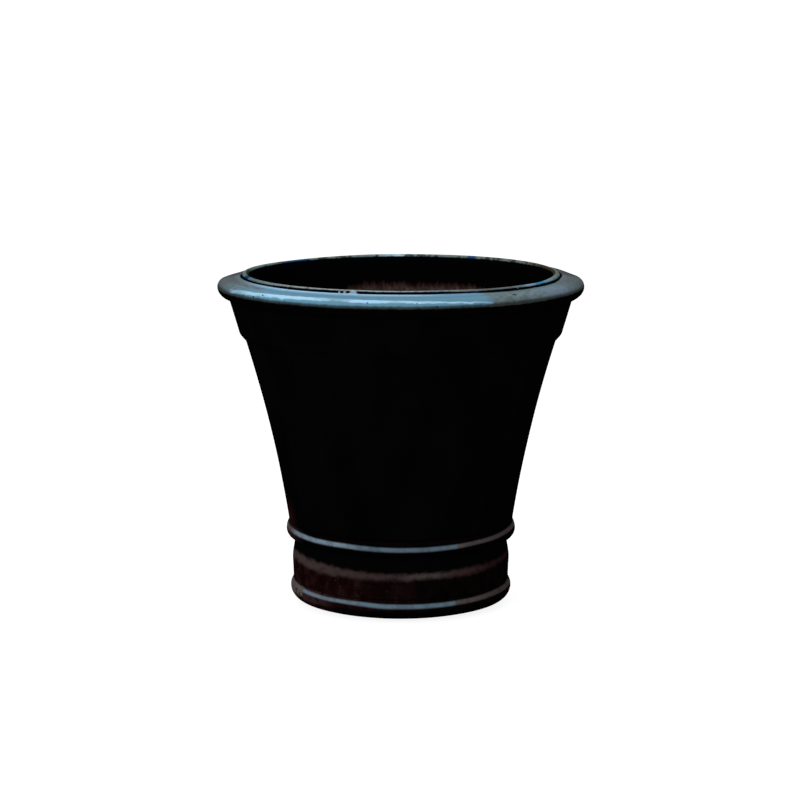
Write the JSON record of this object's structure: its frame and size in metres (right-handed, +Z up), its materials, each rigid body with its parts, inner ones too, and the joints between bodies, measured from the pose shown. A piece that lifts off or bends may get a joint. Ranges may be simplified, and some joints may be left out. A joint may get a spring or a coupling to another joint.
{
  "type": "planter",
  "caption": "Large flared glazed stoneware planter with a rolled rim, seamed lip, collar, waist ring, low foot, moulded base ring and a drain hole.",
  "frame": {"origin": "on the ground, at the centre of the base ring's contact face", "axes": "+Z up along the axis of the pot; the pot is round, so X and Y are free, and -Y is the side the picture shows"},
  "size_m": [0.4599, 0.46, 0.42],
  "materials": {
    "body_glaze": "gloss",
    "rim_glaze": "gloss",
    "foot_glaze": "satin gloss",
    "bare_clay": "matt, unglazed"
  },
  "bodies": {
    "root": {"floor_slab": "bare_clay", "base_ring": "foot_glaze", "foot_wall": "foot_glaze", "waist_ring": "body_glaze", "flared_wall": "body_glaze", "collar_band": "body_glaze", "rolled_rim": "rim_glaze"}
  },
  "joints": []
}
